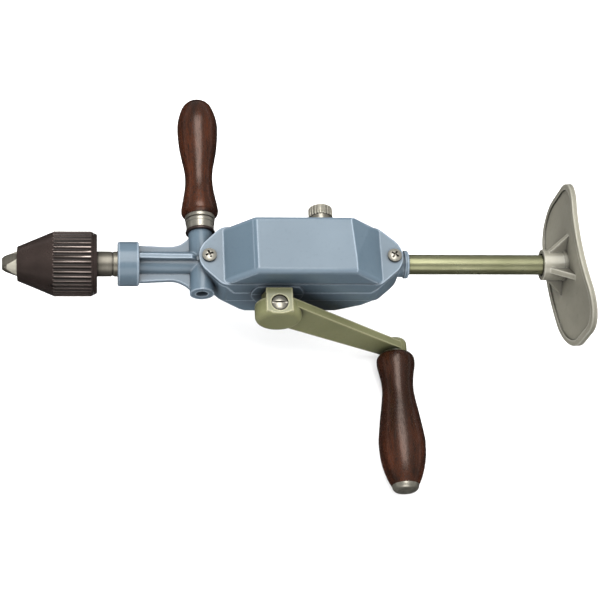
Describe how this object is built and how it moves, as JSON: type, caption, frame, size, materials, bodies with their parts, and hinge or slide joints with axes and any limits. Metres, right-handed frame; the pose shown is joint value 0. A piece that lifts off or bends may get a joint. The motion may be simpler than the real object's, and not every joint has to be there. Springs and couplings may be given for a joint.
{
  "type": "breast drill",
  "caption": "Hand-cranked breast drill with a knurled jaw chuck, enclosed gear case, side handle, wooden crank grip and a breast plate on a tube.",
  "frame": {"origin": "the chuck's mouth: the centre of the closed jaws' tips on the spindle axis", "axes": "+X along the spindle towards the breast plate, +Y towards the side handle, +Z out of the gear case's cover"},
  "size_m": [0.3897, 0.2641, 0.1154],
  "materials": {
    "slate_enamel": "satin slate-blue enamel on cast aluminium",
    "olive_enamel": "satin olive enamel",
    "grey_casting": "satin grey casting",
    "blackened_steel": "satin black-brown oxide",
    "bright_steel": "turned, satin",
    "nickelled_steel": "warm nickel plate, satin",
    "bronze": "sintered, oiled",
    "varnished_wood": "dark reddish-brown, glossy varnish"
  },
  "bodies": {
    "frame": {"body_casting": "slate_enamel", "cover_casting": "slate_enamel", "cover_screws": "nickelled_steel", "front_bush": "bronze", "rear_bush": "bronze", "crank_bush": "bronze", "thrust_cap": "bright_steel", "thrust_bearing": "bright_steel", "thrust_seat": "bright_steel", "side_handle": "varnished_wood", "side_handle_ferrule": "nickelled_steel", "side_handle_lock_ring": "blackened_steel", "side_handle_stud": "bright_steel", "selector_bushing": "nickelled_steel", "detent_ball": "bright_steel", "detent_spring": "bright_steel", "breast_tube": "olive_enamel", "breast_plate": "grey_casting"},
    "spindle": {"spindle": "bright_steel", "thrust_ring": "bright_steel", "spindle_collar": "bright_steel", "spindle_collar_pin": "bright_steel", "chuck_body": "blackened_steel"},
    "pinion": {"pinion": "bright_steel"},
    "sleeve": {"chuck_sleeve": "blackened_steel", "chuck_nut": "bright_steel"},
    "jaw_1": {"chuck_jaw_1": "bright_steel"},
    "jaw_2": {"chuck_jaw_2": "bright_steel"},
    "jaw_3": {"chuck_jaw_3": "bright_steel"},
    "crank": {"crank_shaft": "bright_steel", "crown_wheel": "bright_steel", "wheel_pin": "bright_steel", "crank_arm": "olive_enamel", "crank_clamp_screw": "nickelled_steel", "crank_handle_rod": "bright_steel", "crank_handle_washer": "nickelled_steel"},
    "crank_grip": {"crank_handle": "varnished_wood", "crank_handle_cap": "nickelled_steel"},
    "selector": {"selector_knob": "nickelled_steel", "selector_lever": "bright_steel"}
  },
  "joints": [
    {"name": "crank_turn", "type": "hinge", "parent": "frame", "child": "crank", "pos_m": [0.1803, 0, 0], "axis": [0, 1, 0], "continuous": true},
    {"name": "spindle_spin", "type": "hinge", "parent": "frame", "child": "spindle", "pos_m": [0.08, 0, 0], "axis": [1, 0, 0], "continuous": true},
    {"name": "crank_grip_spin", "type": "hinge", "parent": "crank", "child": "crank_grip", "pos_m": [0.2687, 0, -0.06613], "axis": [0, 1, 0], "continuous": true},
    {"name": "selector_turn", "type": "hinge", "parent": "frame", "child": "selector", "pos_m": [0.2098, 0, 0.018], "axis": [0, 1, 0], "range_deg": [0, 42.6]},
    {"name": "pinion_shift", "type": "slide", "parent": "spindle", "child": "pinion", "axis": [-1, 0, 0], "range_m": [0, 0.008]},
    {"name": "chuck_sleeve_turn", "type": "hinge", "parent": "spindle", "child": "sleeve", "pos_m": [0.04, 0, 0], "axis": [-1, 0, 0], "range_deg": [0, 2844]},
    {"name": "jaw_1_slide", "type": "slide", "parent": "spindle", "child": "jaw_1", "axis": [0.9703, 0.0503, 0.2366], "range_m": [0, 0.0198]},
    {"name": "jaw_2_slide", "type": "slide", "parent": "spindle", "child": "jaw_2", "axis": [0.9703, 0.1798, -0.1619], "range_m": [0, 0.0198]},
    {"name": "jaw_3_slide", "type": "slide", "parent": "spindle", "child": "jaw_3", "axis": [0.9703, -0.2301, -0.0748], "range_m": [0, 0.0198]}
  ],
  "couplings": [
    {"joint": "spindle_spin", "follows": "crank_turn", "ratio": 2.9231},
    {"joint": "pinion_shift", "follows": "selector_turn", "m_per_rad": 0.01075},
    {"joint": "jaw_1_slide", "follows": "chuck_sleeve_turn", "m_per_rad": 0.00039789},
    {"joint": "jaw_2_slide", "follows": "chuck_sleeve_turn", "m_per_rad": 0.00039789},
    {"joint": "jaw_3_slide", "follows": "chuck_sleeve_turn", "m_per_rad": 0.00039789}
  ]
}
